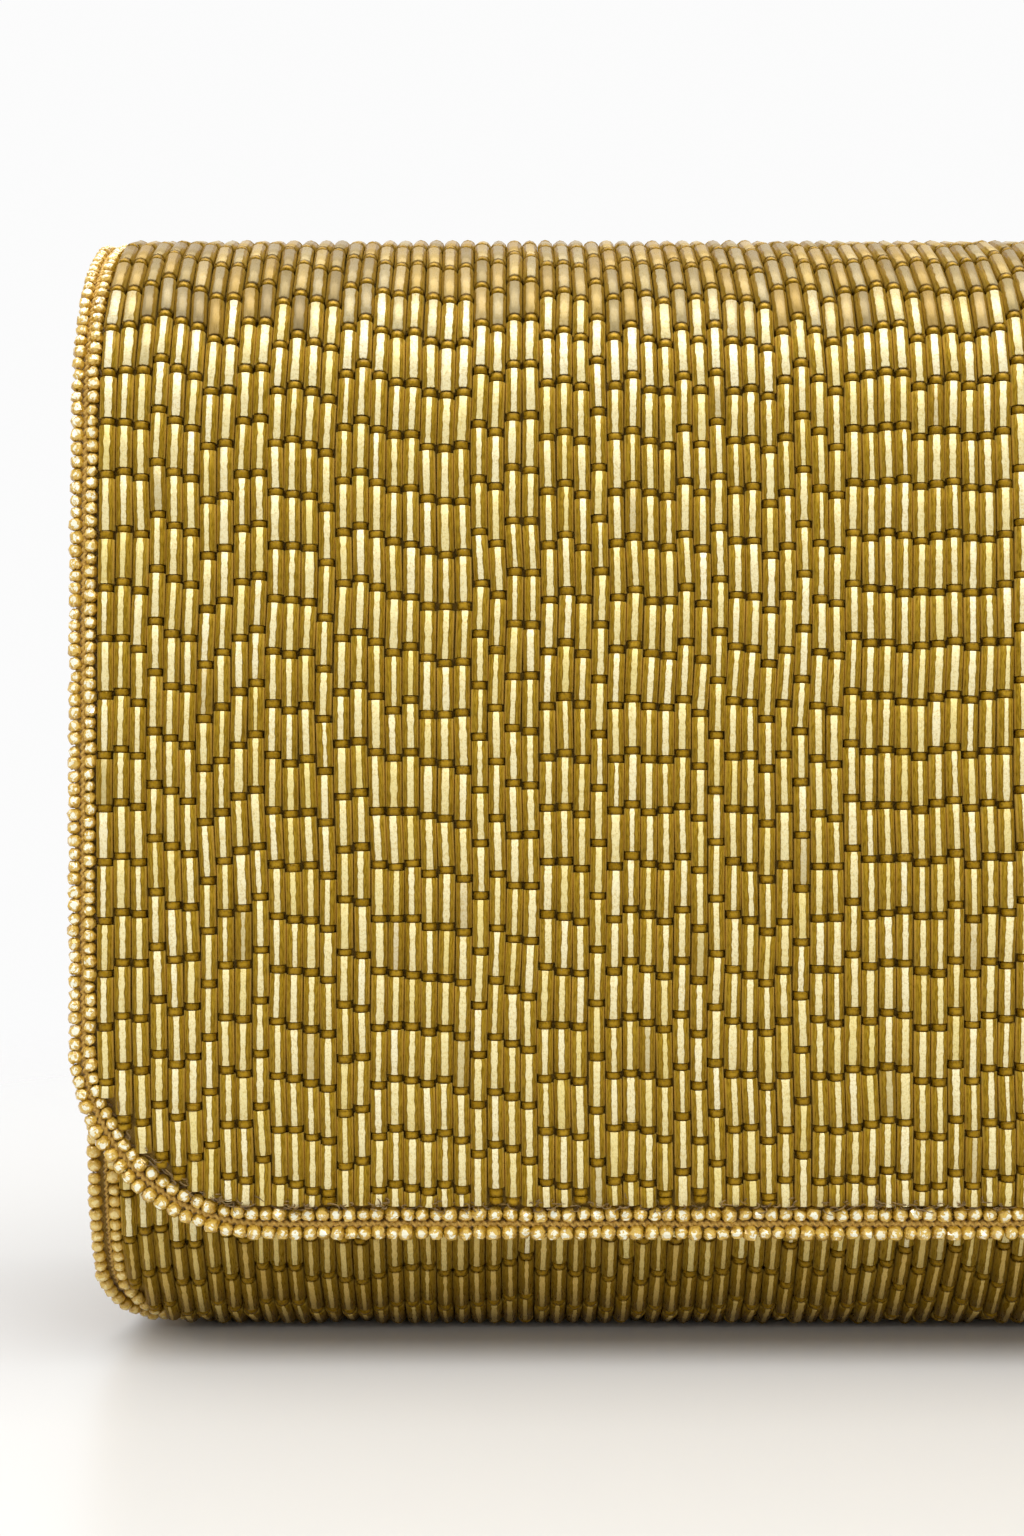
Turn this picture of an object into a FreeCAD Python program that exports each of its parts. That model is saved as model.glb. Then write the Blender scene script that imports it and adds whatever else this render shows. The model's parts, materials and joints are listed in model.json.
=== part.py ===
"""Beaded flap evening bag. Millimetres, +Z up, the front faces -Y, and the origin is under the middle of the bag.

Every wall of the bag is a stack of layers that follow one side profile: beadwork outside, then base cloth, board and
lining. A layer is that profile between two depths below the bead tops, drawn in the YZ plane and extruded along X.
"""

import FreeCAD, Part
import math
import os

V = FreeCAD.Vector

# Overall size, over the bead tops
height = 134.0
depth = 54.7
flap_width = 230.0
body_width = 227.7

# Layers, from the bead tops inwards
bead_t = 1.9
cloth_t = 0.4
board_t = 1.2
lining_t = 0.5
cloth_at = bead_t
board_at = cloth_at + cloth_t
lining_at = board_at + board_t
wall_t = lining_at + lining_t

# Flap: short back strip, round top, and a front that bulges a little
top_radius = 26.6
front_lean = math.radians(3.5)
flap_bottom_z = 14.6
flap_corner_r = 22.0
top_centre_y = depth / 2 - top_radius
top_centre_z = height - top_radius
bulge_radius = (depth - top_radius * (1 + math.cos(front_lean))) / (1 - math.cos(front_lean))
bulge_centre_y = top_centre_y + (bulge_radius - top_radius) * math.cos(front_lean)
bulge_centre_z = top_centre_z - (bulge_radius - top_radius) * math.sin(front_lean)

# Body: flat front and back, a front foot of two arcs and a round back foot with a flat base between them
body_front_y = -21.7
body_back_y = depth / 2
front_top_z = 103.0
foot_height = 24.0
foot_depth = 15.0
back_foot_r = 20.0
foot_corner_r = 8.5

# The flap turns about the bead tops of the back
hinge_y = depth / 2
hinge_z = 106.0
hinge_gap = 0.15

# Edge trim: a row of beads, a cord and a second row of beads, on the base cloth
row_w = 1.5
cord_w = 0.4
row_t = 1.5
cord_t = 1.0
trim_w = 2 * row_w + cord_w
cloth_inset = 0.4
board_inset = 1.3

# End panels, set in from the body's edges
gusset_x = 101.3
gusset_satin_t = 0.6
gusset_board_t = 1.0
gusset_lining_t = 0.5
gusset_dome_gap = 0.8
gusset_rim_inset = 0.6
shoulder_z = 99.0
gusset_in = gusset_x - gusset_satin_t - gusset_board_t - gusset_lining_t

# Mouth binding, hinge tape and inner slip pocket
binding_h = 1.2
tape_half_w = 97.0
tape_bottom_z = 92.0
tape_t = 0.4
pocket_half_w = 62.0
pocket_bottom_z = 32.0
pocket_top_z = 88.0
pocket_t = 0.5
pocket_gap = 0.9
pocket_seam_w = 2.0
pocket_hem_h = 5.0
pocket_hem_t = 0.3

# Magnetic snap: the stud is on the flap, and the socket is let into the body's front
snap_z = 34.0
snap_r = 9.0
snap_seat_r = 9.2
socket_t = 2.8
socket_shell_t = 0.4
socket_hole_r = 4.6
magnet_r = 8.3
stud_r = 3.2
stud_length = 1.6
stud_plate_t = 1.0
stud_chamfer = 0.4
snap_rounding = 0.25
backplate_r = 7.0
backplate_t = 0.4

half_flap = flap_width / 2
half_body = body_width / 2
far = 60.0


def at(centre, radius, angle):
    """The point of the YZ plane at that angle on a circle, with 0 along +Y and 90 degrees along +Z."""
    y, z = centre
    return V(0, y + radius * math.cos(angle), z + radius * math.sin(angle))


def arc(centre, radius, start, end):
    """An arc in the YZ plane, with its angles in radians."""
    return Part.Arc(
        at(centre, radius, start), at(centre, radius, (start + end) / 2), at(centre, radius, end)
    ).toShape()


def line(start, end):
    return Part.LineSegment(start, end).toShape()


def flap_path(t, start_z=hinge_z + hinge_gap, end_z=flap_bottom_z):
    """Edges of the flap's profile at depth t, from the hinge over the top and down the front."""
    top = (top_centre_y, top_centre_z)
    bulge = (bulge_centre_y, bulge_centre_z)
    front = math.pi - front_lean
    foot = math.pi + math.asin((bulge_centre_z - end_z) / bulge_radius)
    return [
        line(V(0, hinge_y - t, start_z), V(0, hinge_y - t, top_centre_z)),
        arc(top, top_radius - t, 0, front),
        arc(bulge, bulge_radius - t, front, foot),
    ]


# The front foot runs through two tangent arcs, each turning 45 degrees
half_turn = math.pi / 4
foot_spread = (foot_height - foot_depth) / (2 * math.cos(half_turn) - 1)
foot_r1 = foot_height + foot_spread * (1 - math.cos(half_turn))
foot_r2 = foot_r1 - foot_spread
foot_c1 = (body_front_y + foot_r1, foot_height)
foot_c2 = (body_front_y + foot_depth, foot_r2)
back_foot_c = (body_back_y - back_foot_r, back_foot_r)


def front_wall(t):
    return [line(V(0, body_front_y + t, front_top_z), V(0, body_front_y + t, foot_height))]


def base_wall(t):
    return [
        arc(foot_c1, foot_r1 - t, math.pi, math.pi + half_turn),
        arc(foot_c2, foot_r2 - t, math.pi + half_turn, 1.5 * math.pi),
        line(V(0, foot_c2[0], t), V(0, back_foot_c[0], t)),
        arc(back_foot_c, back_foot_r - t, 1.5 * math.pi, 2 * math.pi),
    ]


def back_wall(t):
    y = body_back_y - t
    return [line(V(0, y, back_foot_r), V(0, y, hinge_z - hinge_gap))]


def body_path(t):
    """Edges of the body's profile at depth t, from the front mouth round the foot and up the back."""
    return front_wall(t) + base_wall(t) + back_wall(t)


def ends(edges):
    """The first and last point of a run of edges."""
    return edges[0].valueAt(edges[0].FirstParameter), edges[-1].valueAt(edges[-1].LastParameter)


def layer(path, t0, t1, half_x):
    """The solid between depths t0 and t1 of a profile, from -half_x to +half_x."""
    outer, inner = path(t0), path(t1)
    (a0, a1), (b0, b1) = ends(outer), ends(inner)
    wire = Part.Wire(Part.__sortEdges__(outer + [line(a1, b1)] + inner + [line(b0, a0)]))
    solid = Part.Face(wire).extrude(V(2 * half_x, 0, 0))
    solid.translate(V(-half_x, 0, 0))
    return solid


def outline(half_x, bottom_z, corner_r):
    """A prism along Y whose front view has two round lower corners, to trim a layer to its width."""
    low, side, top = bottom_z, bottom_z + corner_r, height + far
    x = half_x - corner_r
    k = corner_r * (1 - math.cos(half_turn))
    points = [V(-x, -far, low), V(x, -far, low), V(half_x, -far, side), V(half_x, -far, top)]
    points += [V(-half_x, -far, top), V(-half_x, -far, side)]
    right = Part.Arc(points[1], V(half_x - k, -far, low + k), points[2]).toShape()
    left = Part.Arc(points[5], V(k - half_x, -far, low + k), points[0]).toShape()
    edges = [line(points[0], points[1]), right, line(points[2], points[3])]
    edges += [line(points[3], points[4]), line(points[4], points[5]), left]
    return Part.Face(Part.Wire(edges)).extrude(V(0, 2 * far, 0))


def body_outline(inset):
    """The body's front view, with its sides moved in by inset. The rounding of the foot stays the same size."""
    return outline(half_body - inset, 0, foot_corner_r)


def flap_outline(inset):
    return outline(half_flap - inset, flap_bottom_z + inset, flap_corner_r - inset)


def box(x0, x1, y0, y1, z0, z1):
    return Part.makeBox(x1 - x0, y1 - y0, z1 - z0, V(x0, y0, z0))


def disc(radius, y0, y1, z=snap_z):
    """A disc with its axis along Y, on the middle of the bag."""
    return Part.makeCylinder(radius, y1 - y0, V(0, y0, z), V(0, 1, 0))


def rounded(shape, radius, y):
    """The shape with its circular edge of that radius, in that plane of constant Y, rounded over."""
    edges = [
        e for e in shape.Edges
        if isinstance(e.Curve, Part.Circle) and abs(e.Curve.Radius - radius) < 1e-6
        and abs(e.CenterOfMass.y - y) < 1e-6
    ]
    return shape.makeFillet(snap_rounding, edges)


def right_half(shape):
    return shape.common(box(0, 2 * far + half_flap, -far, far, -far, height + far))


def mirrored(shape):
    """The same piece on the left side."""
    return shape.mirror(V(0, 0, 0), V(1, 0, 0))


def flap_layer(t0, t1, inset):
    return layer(flap_path, t0, t1, half_flap).common(flap_outline(inset))


def body_layer(t0, t1, inset, path=body_path):
    return layer(path, t0, t1, half_body).common(body_outline(inset))


# Where the snap's faces lie
socket_back_y = body_front_y + board_at
socket_face_y = socket_back_y - socket_t
bulge_drop = bulge_radius - math.sqrt(bulge_radius**2 - (bulge_centre_z - snap_z) ** 2)
flap_board_in_y = -depth / 2 + bulge_drop + lining_at
stud_plate_back_y = flap_board_in_y - 0.3
stud_plate_face_y = stud_plate_back_y + stud_plate_t


def flap_parts():
    """The pieces that turn with the flap."""
    seat = disc(snap_seat_r, stud_plate_back_y, stud_plate_back_y + 5)
    backplate_seat = disc(backplate_r, stud_plate_back_y - backplate_t, stud_plate_back_y)
    board = flap_layer(board_at, lining_at, board_inset).cut(seat).cut(backplate_seat)
    split = box(-far - half_flap, far + half_flap, -far, 0, -far, top_centre_z - 8)
    cloth = flap_layer(cloth_at, board_at, cloth_inset)
    trim = layer(flap_path, cloth_at - row_t, cloth_at, half_flap)
    cord = layer(flap_path, cloth_at - cord_t, cloth_at, half_flap)
    edge = layer(flap_path, board_at, lining_at, half_flap)
    rings = [flap_outline(x) for x in (0, row_w, row_w + cord_w, trim_w)]
    return {
        "flap_beadwork": flap_layer(0, cloth_at, trim_w),
        "flap_cloth": cloth,
        "flap_front_board": board.common(split),
        "flap_top_board": board.cut(split),
        "flap_lining": flap_layer(lining_at, wall_t, cloth_inset).cut(seat),
        "flap_edge_binding": edge.common(flap_outline(cloth_inset)).cut(flap_outline(board_inset)),
        "flap_edge_outer_beads": trim.common(rings[0]).cut(rings[1]),
        "flap_edge_cord": cord.common(rings[1]).cut(rings[2]),
        "flap_edge_inner_beads": trim.common(rings[2]).cut(rings[3]),
        "snap_stud": stud(),
        "snap_stud_backplate": disc(backplate_r, stud_plate_back_y - backplate_t, stud_plate_back_y),
    }


def stud():
    """The steel plate and its nub, which enters the socket."""
    plate = rounded(disc(snap_r, stud_plate_back_y, stud_plate_face_y), snap_r, stud_plate_face_y)
    tip_y = stud_plate_face_y + stud_length
    nub = disc(stud_r, stud_plate_face_y, tip_y - stud_chamfer)
    tip = Part.makeCone(
        stud_r, stud_r - stud_chamfer, stud_chamfer, V(0, tip_y - stud_chamfer, snap_z), V(0, 1, 0)
    )
    return plate.fuse(nub).fuse(tip).removeSplitter()


def socket_parts():
    """The socket: a pressed cap over a ring magnet, and the plate that its prongs close on behind the board."""
    cavity = disc(magnet_r, socket_face_y + socket_shell_t, socket_back_y)
    hole = disc(socket_hole_r, socket_face_y - 1, socket_back_y + 1)
    cap = disc(snap_r, socket_face_y, socket_back_y).cut(cavity).cut(hole)
    cap = rounded(rounded(cap, snap_r, socket_face_y), socket_hole_r, socket_face_y)
    magnet_hole = disc(socket_hole_r, socket_face_y, socket_back_y + 1)
    magnet = disc(magnet_r, socket_face_y + socket_shell_t, socket_back_y).cut(magnet_hole)
    return {
        "snap_socket_cap": cap,
        "snap_socket_magnet": magnet,
        "snap_socket_backplate": disc(backplate_r, body_front_y + lining_at - backplate_t,
                                      body_front_y + lining_at),
    }


def dome_path(t):
    """The end panel's edge: the body's profile, carried on up and closed by an arc just under the flap."""
    radius = top_radius - wall_t - gusset_dome_gap
    top = (top_centre_y, top_centre_z)
    front_y, back_y = body_front_y + t, body_back_y - t
    start = math.pi - math.acos((top_centre_y - front_y) / radius)
    return base_wall(t) + [
        line(V(0, front_y, foot_height), at(top, radius, start)),
        arc(top, radius, 0, start),
        line(at(top, radius, 0), V(0, back_y, shoulder_z)),
        line(V(0, back_y, shoulder_z), V(0, back_y, back_foot_r)),
    ]


def end_plate(t, x0, x1):
    """A plate of the end panel, between two planes of constant X."""
    face = Part.Face(Part.Wire(Part.__sortEdges__(dome_path(t))))
    plate = face.extrude(V(x1 - x0, 0, 0))
    plate.translate(V(x0, 0, 0))
    return plate


def gusset_parts():
    """The right end panel: satin turned out along the walls and round their edges, a board and a lining."""
    x1 = gusset_x - gusset_satin_t
    x2 = x1 - gusset_board_t
    reach = box(gusset_x, half_body, -far, far, -far, shoulder_z)
    rim = layer(body_path, lining_at, lining_at + gusset_satin_t, half_body)
    fold = layer(body_path, board_at, lining_at, half_body).cut(body_outline(board_inset))
    rim = rim.fuse(fold).common(body_outline(gusset_rim_inset)).common(reach)
    return {
        "gusset": end_plate(lining_at, x1, gusset_x).fuse(rim).removeSplitter(),
        "gusset_board": end_plate(lining_at, x2, x1),
        "gusset_lining": end_plate(lining_at, gusset_in, x2),
    }


def body_edge_parts():
    """The right edge trim of the body. Its rows are as thick as the bugles, so the bag stands on them too."""
    rows = layer(body_path, 0, cloth_at, half_body)
    cord = layer(body_path, cloth_at - cord_t, cloth_at, half_body)
    rings = [body_outline(x) for x in (0, row_w, row_w + cord_w, trim_w)]
    return {
        "edge_outer_beads": right_half(rows.common(rings[0]).cut(rings[1])),
        "edge_cord": right_half(cord.common(rings[1]).cut(rings[2])),
        "edge_inner_beads": right_half(rows.common(rings[2]).cut(rings[3])),
    }


def mouth_binding():
    """A satin strip that caps the raw top of the front wall, notched round the end panels."""
    y0, y1 = body_front_y, body_front_y + wall_t
    z0, z1 = front_top_z, front_top_z + binding_h
    r = binding_h * 0.9
    strip = box(-half_body + cloth_inset, half_body - cloth_inset, y0, y1, z0, z1)
    long_top = [
        e for e in strip.Edges
        if abs(e.Vertexes[0].Z - z1) < 1e-6 and abs(e.Vertexes[1].Z - z1) < 1e-6 and e.Length > far
    ]
    panel = end_plate(lining_at, gusset_in, gusset_x)
    return strip.makeFillet(r, long_top).cut(panel).cut(mirrored(panel))


def pocket_parts():
    """A flat satin pocket on the back lining, sewn at its sides and foot, with a hem round its mouth."""
    lining_y = body_back_y - wall_t
    y0 = lining_y - pocket_gap - pocket_t
    panel = box(-pocket_half_w, pocket_half_w, y0, lining_y - pocket_gap, pocket_bottom_z, pocket_top_z)
    seam = box(-pocket_half_w, pocket_half_w, lining_y - pocket_gap, lining_y, pocket_bottom_z, pocket_top_z)
    inner = pocket_half_w - pocket_seam_w
    seam = seam.cut(box(-inner, inner, y0, lining_y, pocket_bottom_z + pocket_seam_w, pocket_top_z))
    hem = box(-pocket_half_w, pocket_half_w, y0 - pocket_hem_t, y0, pocket_top_z - pocket_hem_h, pocket_top_z)
    return {"slip_pocket": panel.fuse(seam).removeSplitter(), "slip_pocket_hem": hem}


def body_parts():
    """The pieces of the body, which stands still."""
    socket_seat = disc(snap_seat_r, body_front_y - 5, socket_back_y)
    backplate_seat = disc(backplate_r, body_front_y + lining_at - backplate_t, body_front_y + lining_at)
    lining = layer(body_path, lining_at, wall_t, gusset_in)
    tape_y = body_back_y - wall_t
    parts = {
        "body_beadwork": body_layer(0, cloth_at, trim_w).cut(socket_seat),
        "body_cloth": body_layer(cloth_at, board_at, cloth_inset).cut(socket_seat),
        "front_board": body_layer(board_at, lining_at, board_inset, front_wall).cut(backplate_seat),
        "base_board": body_layer(board_at, lining_at, board_inset, base_wall),
        "back_board": body_layer(board_at, lining_at, board_inset, back_wall),
        "body_lining": lining,
        "mouth_binding": mouth_binding(),
        "hinge_tape": box(-tape_half_w, tape_half_w, tape_y - tape_t, tape_y,
                          tape_bottom_z, hinge_z - hinge_gap),
    }
    parts.update(pocket_parts())
    parts.update(socket_parts())
    for name, shape in {**gusset_parts(), **body_edge_parts()}.items():
        parts["right_" + name] = shape
        parts["left_" + name] = mirrored(shape)
    return parts


def main():
    os.makedirs("parts", exist_ok=True)
    for name, shape in {**body_parts(), **flap_parts()}.items():
        solids = shape.Solids
        assert solids and all(s.isValid() and s.isClosed() for s in solids), name
        kept = solids[0] if len(solids) == 1 else Part.makeCompound(solids)
        kept.exportStep("parts/" + name + ".step")
        size = kept.BoundBox
        print(f"{name:26s} {len(solids)} solid  {kept.Volume / 1000:8.3f} cm3 "
              f"x {size.XMin:.1f}..{size.XMax:.1f} y {size.YMin:.2f}..{size.YMax:.2f} "
              f"z {size.ZMin:.2f}..{size.ZMax:.2f}")


main()
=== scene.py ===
import json
import math

import bpy
import numpy as np
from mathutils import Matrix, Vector


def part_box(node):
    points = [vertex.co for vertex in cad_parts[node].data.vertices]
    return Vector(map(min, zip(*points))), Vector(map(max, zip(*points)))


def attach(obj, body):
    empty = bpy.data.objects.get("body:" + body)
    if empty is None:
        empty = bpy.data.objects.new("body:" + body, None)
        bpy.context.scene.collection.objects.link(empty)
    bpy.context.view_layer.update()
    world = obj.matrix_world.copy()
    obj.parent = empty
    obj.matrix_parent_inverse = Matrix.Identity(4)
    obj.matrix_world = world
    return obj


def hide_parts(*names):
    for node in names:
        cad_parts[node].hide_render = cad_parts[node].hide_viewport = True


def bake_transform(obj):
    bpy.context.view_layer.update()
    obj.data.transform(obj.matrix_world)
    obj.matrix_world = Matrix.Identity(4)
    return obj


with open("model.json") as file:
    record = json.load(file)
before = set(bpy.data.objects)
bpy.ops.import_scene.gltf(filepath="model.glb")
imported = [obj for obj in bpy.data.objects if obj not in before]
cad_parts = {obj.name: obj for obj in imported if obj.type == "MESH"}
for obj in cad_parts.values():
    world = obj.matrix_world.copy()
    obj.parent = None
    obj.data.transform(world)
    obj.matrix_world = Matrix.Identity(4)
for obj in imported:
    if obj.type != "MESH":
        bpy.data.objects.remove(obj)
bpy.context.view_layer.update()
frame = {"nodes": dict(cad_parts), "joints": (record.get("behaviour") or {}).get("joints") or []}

MM = 0.001
random = np.random.default_rng(11)

# --------------------------------------------------------------------------------------------------
# Sizes, in millimetres. The boxes come from the frame, and the profile's radii are the CAD model's.


def node_box(name):
    """A CAD node's lowest and highest corners, in millimetres."""
    low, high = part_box(name)
    return np.array(low) / MM, np.array(high) / MM


flap_low, flap_high = node_box("flap_edge_outer_beads")
body_high = node_box("right_edge_outer_beads")[1]
beads_low, beads_high = node_box("flap_beadwork")
shell_low, shell_high = node_box("body_beadwork")
socket_low, socket_high = node_box("snap_socket_cap")
panel_low, panel_high = node_box("right_gusset_lining")

height = beads_high[2]
back_y = beads_high[1]
front_y = beads_low[1]
half_flap = flap_high[0]
half_body = body_high[0]
body_front_y = shell_low[1]
mouth_z = shell_high[2] - 2.85
flap_bottom_z = flap_low[2]
hinge_z = frame["joints"][0]["pos_m"][2] / MM
hinge_gap = 0.15
snap_z = (socket_low[2] + socket_high[2]) / 2

top_radius = 26.6
front_lean = math.radians(3.5)
foot_height = 24.0
foot_depth = 15.0
back_foot_r = 20.0
foot_corner_r = 8.5
flap_corner_r = 22.0

bead_t = 1.9
cloth_at = bead_t
board_at = 2.3
lining_at = 3.5
wall_t = 4.0
trim_w = 3.4
row_at = 0.75
cord_inset = 1.7

panel_satin_t = 0.6
gusset_in = panel_low[0]
gusset_lined = panel_high[0]
gusset_x = node_box("right_gusset_board")[1][0] + panel_satin_t
gusset_rim_inset = 0.6
panel_gap = 0.8
panel_leans_z = 99.0
panel_free_z = 97.0

# --------------------------------------------------------------------------------------------------
# Side profiles: each is a run of points in the YZ plane with outward normals, dense enough to read by length.


def round_stretch(centre, radius, start, end):
    """Points and outward normals along an arc, with its angles in radians from +Y towards +Z."""
    angles = np.linspace(start, end, max(8, int(abs(end - start) * radius / 0.25)))
    normals = np.stack([np.cos(angles), np.sin(angles)], 1)
    return np.array(centre) + radius * normals, normals


def straight_stretch(start, end, normal):
    count = max(2, int(math.dist(start, end) / 0.25))
    return np.linspace(start, end, count), np.tile(np.array(normal, float), (count, 1))


class Profile:
    """The outside of a wall, read by the length along its beads' axes. at() gives points at a depth."""

    def __init__(self, stretches):
        self.points = np.concatenate([p for p, _ in stretches])
        self.normals = np.concatenate([n for _, n in stretches])
        axis = self.points - self.normals * bead_t / 2
        steps = np.linalg.norm(np.diff(axis, axis=0), axis=1)
        keep = np.concatenate([[True], steps > 1e-6])
        self.points, self.normals = self.points[keep], self.normals[keep]
        self.lengths = np.concatenate([[0], np.cumsum(steps[steps > 1e-6])])
        self.length = self.lengths[-1]

    def normal(self, s):
        n = np.stack([np.interp(s, self.lengths, self.normals[:, i]) for i in (0, 1)], -1)
        return n / np.linalg.norm(n, axis=-1, keepdims=True)

    def at(self, s, depth=0.0):
        """The (y, z) points at those lengths and depths."""
        p = np.stack([np.interp(s, self.lengths, self.points[:, i]) for i in (0, 1)], -1)
        return p - np.asarray(depth)[..., None] * self.normal(s)

    def length_at_z(self, z, first, last):
        """The lengths where the outside has those heights. From first to last it only rises or falls."""
        part = (self.lengths >= first) & (self.lengths <= last)
        heights, lengths = self.points[part, 1], self.lengths[part]
        order = np.argsort(heights)
        return np.interp(z, heights[order], lengths[order])


def flap_profile():
    """From the hinge over the top and down the front."""
    depth = back_y - front_y
    top = (back_y - top_radius, height - top_radius)
    bulge_r = (depth - top_radius * (1 + math.cos(front_lean))) / (1 - math.cos(front_lean))
    away = bulge_r - top_radius
    bulge = (top[0] + away * math.cos(front_lean), top[1] - away * math.sin(front_lean))
    foot = math.pi + math.asin((bulge[1] - flap_bottom_z) / bulge_r)
    return Profile([
        straight_stretch((back_y, hinge_z + hinge_gap), (back_y, top[1]), (1, 0)),
        round_stretch(top, top_radius, 0, math.pi - front_lean),
        round_stretch(bulge, bulge_r, math.pi - front_lean, foot),
    ])


def body_profile():
    """From the mouth down the front, round the foot and up the back to the hinge."""
    turn = math.pi / 4
    spread = (foot_height - foot_depth) / (2 * math.cos(turn) - 1)
    r1 = foot_height + spread * (1 - math.cos(turn))
    r2 = r1 - spread
    c1, c2 = (body_front_y + r1, foot_height), (body_front_y + foot_depth, r2)
    back = (back_y - back_foot_r, back_foot_r)
    return Profile([
        straight_stretch((body_front_y, mouth_z), (body_front_y, foot_height), (-1, 0)),
        round_stretch(c1, r1, math.pi, math.pi + turn),
        round_stretch(c2, r2, math.pi + turn, 1.5 * math.pi),
        straight_stretch((c2[0], 0), (back[0], 0), (0, -1)),
        round_stretch(back, back_foot_r, 1.5 * math.pi, 2 * math.pi),
        straight_stretch((back_y, back_foot_r), (back_y, hinge_z - hinge_gap), (1, 0)),
    ])


flap = flap_profile()
body = body_profile()
from_top_centre = np.abs(flap.points[:, 1] - (height - top_radius))
flap_front_s = flap.lengths[np.argmin(np.where(flap.points[:, 0] > 0, np.inf, from_top_centre))]


def flap_half_width(z, inset=0.0):
    """Half the flap's width at a height, narrower across its round lower corners."""
    r = flap_corner_r - inset
    below = np.clip(flap_bottom_z + flap_corner_r - np.asarray(z, float), 0, r)
    return half_flap - flap_corner_r + np.sqrt(r * r - below * below)


def body_half_width(z, inset=0.0):
    """Half the body's width at a height, narrower across the foot's round corners."""
    below = np.clip(foot_corner_r - np.asarray(z, float), 0, foot_corner_r)
    return half_body - inset - foot_corner_r + np.sqrt(foot_corner_r**2 - below * below)


class Wander:
    """A smooth pattern over a surface: a sum of a few waves with random directions and phases."""

    def __init__(self, size, wavelength, waves=6):
        angle = random.uniform(0, math.pi, waves)
        number = 2 * math.pi / (wavelength * random.uniform(0.6, 1.8, waves))
        self.kx, self.ky = number * np.cos(angle), number * np.sin(angle)
        self.phase = random.uniform(0, 2 * math.pi, waves)
        self.size = size / math.sqrt(waves / 2)

    def __call__(self, x, y):
        x, y = np.asarray(x, float)[..., None], np.asarray(y, float)[..., None]
        return self.size * np.sin(self.kx * x + self.ky * y + self.phase).sum(-1)


# --------------------------------------------------------------------------------------------------
# Mesh helpers


def make_mesh(name, points, quads, uvs, smooth=True, attributes=None, uv_name="UVMap", triangles=None):
    """A mesh object from points in millimetres, faces of four corners with their UVs, and any triangles."""
    triangles = np.zeros((0, 3), int) if triangles is None else triangles
    corners = np.concatenate([quads.ravel(), triangles.ravel()])
    starts = np.concatenate([np.arange(0, quads.size, 4), quads.size + np.arange(0, triangles.size, 3)])
    uvs = np.concatenate([uvs.reshape(-1, 2), np.zeros((triangles.size, 2))])
    mesh = bpy.data.meshes.new(name)
    mesh.vertices.add(len(points))
    mesh.vertices.foreach_set("co", (points * MM).astype(np.float32).ravel())
    mesh.loops.add(len(corners))
    mesh.loops.foreach_set("vertex_index", corners.astype(np.int32))
    mesh.polygons.add(len(starts))
    mesh.polygons.foreach_set("loop_start", starts.astype(np.int32))
    mesh.polygons.foreach_set("use_smooth", np.full(len(starts), smooth))
    mesh.uv_layers.new(name=uv_name).data.foreach_set("uv", uvs.astype(np.float32).ravel())
    for key, values in (attributes or {}).items():
        layer = mesh.attributes.new(key, "FLOAT_VECTOR", "POINT")
        layer.data.foreach_set("vector", values.astype(np.float32).ravel())
    mesh.update()
    mesh.validate()
    piece = bpy.data.objects.new(name, mesh)
    bpy.context.scene.collection.objects.link(piece)
    return piece


def finish_piece(piece, material, on, stands_for=()):
    """Gives a piece its material, the body that it rides on and the CAD nodes that it stands for."""
    piece.data.materials.append(material)
    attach(piece, on)
    if stands_for:
        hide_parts(*stands_for)
    return piece


def grid_quads(rows, columns, closed_rows=False, closed_columns=False):
    """The faces of a grid of points, and each corner's place in the grid from 0 to 1 both ways."""
    r = np.arange(rows if closed_rows else rows - 1)
    c = np.arange(columns if closed_columns else columns - 1)
    r, c = (a.ravel() for a in np.meshgrid(r, c, indexing="ij"))
    corner_r = np.stack([r, r, r + 1, r + 1], 1)
    corner_c = np.stack([c, c + 1, c + 1, c], 1)
    quads = (corner_r % rows) * columns + corner_c % columns
    uvs = np.stack([corner_c / max(1, c.max() + 1), corner_r / max(1, r.max() + 1)], -1)
    return quads, uvs


def thick_sheet(name, outer, inner, hole=None):
    """A closed sheet between two grids of points. hole marks the grid points that it leaves out."""
    rows, columns = outer.shape[:2]
    count = rows * columns
    quads, uvs = grid_quads(rows, columns)
    if hole is not None:
        kept = ~hole.ravel()[quads].all(1)
        quads, uvs = quads[kept], uvs[kept]
    a, b = quads.ravel(), np.roll(quads, -1, 1).ravel()
    border = ~np.isin(a * count + b, b * count + a)
    a, b = a[border], b[border]
    faces = np.concatenate([quads, quads[:, ::-1] + count, np.stack([b, a, a + count, b + count], 1)])
    points = np.concatenate([outer.reshape(-1, 3), inner.reshape(-1, 3)])
    used, faces = np.unique(faces, return_inverse=True)
    points, faces = points[used], faces.reshape(-1, 4)
    p = points[faces]
    volume = (p[:, 0] * np.cross(p[:, 1], p[:, 2])).sum() + (p[:, 0] * np.cross(p[:, 2], p[:, 3])).sum()
    all_uvs = np.concatenate([uvs, uvs[:, ::-1], np.zeros((len(a), 4, 2))])
    if volume < 0:
        faces, all_uvs = faces[:, ::-1], all_uvs[:, ::-1]
    return make_mesh(name, points, faces, all_uvs)


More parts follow.
